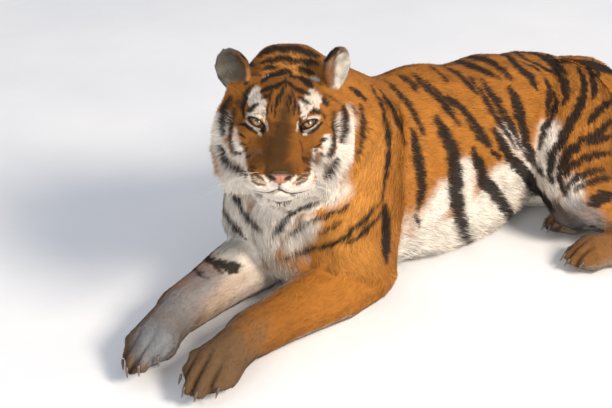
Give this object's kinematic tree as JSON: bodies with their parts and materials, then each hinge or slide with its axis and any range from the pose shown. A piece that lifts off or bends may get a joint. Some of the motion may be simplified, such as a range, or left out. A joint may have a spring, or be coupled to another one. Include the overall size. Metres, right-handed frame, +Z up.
{
  "type": "siberian tiger",
  "caption": "Life-size striped tiger at rest: forelegs stretched out in front, hindquarters rolled on one hip, head up and turned aside.",
  "frame": {"origin": "on the floor plane, under the breastbone and midway between the shoulders", "axes": "+Z up, the trunk lies along Y with the chest towards -Y and the tail towards +Y, +X to the tiger's left"},
  "size_m": [0.834, 2.1912, 0.7497],
  "materials": {
    "coat": "soft fur: ginger with black stripes, white to cream below and on the face",
    "nose_skin": "satin skin, brownish pink",
    "eye": "wet gloss, amber iris and round dark pupil",
    "claw": "satin horn"
  },
  "bodies": {
    "root": {"trunk": "coat", "head": "coat", "neck": "coat", "nose": "nose_skin", "left_eye": "eye", "right_eye": "eye", "left_ear": "coat", "right_ear": "coat", "left_shoulder": "coat", "left_forearm": "coat", "left_forepaw": "coat", "left_thigh": "coat", "left_shank": "coat", "left_hind_foot": "coat", "right_shoulder": "coat", "right_forearm": "coat", "right_forepaw": "coat", "right_thigh": "coat", "right_shank": "coat", "right_hind_foot": "coat", "tail_root": "coat", "tail_end": "coat", "left_forepaw_claw_1": "claw", "left_forepaw_claw_2": "claw", "left_forepaw_claw_3": "claw", "left_forepaw_claw_4": "claw", "right_forepaw_claw_1": "claw", "right_forepaw_claw_2": "claw", "right_forepaw_claw_3": "claw", "right_forepaw_claw_4": "claw", "left_hind_foot_claw_1": "claw", "left_hind_foot_claw_2": "claw", "left_hind_foot_claw_3": "claw", "left_hind_foot_claw_4": "claw", "right_hind_foot_claw_1": "claw", "right_hind_foot_claw_2": "claw", "right_hind_foot_claw_3": "claw", "right_hind_foot_claw_4": "claw"}
  },
  "joints": []
}
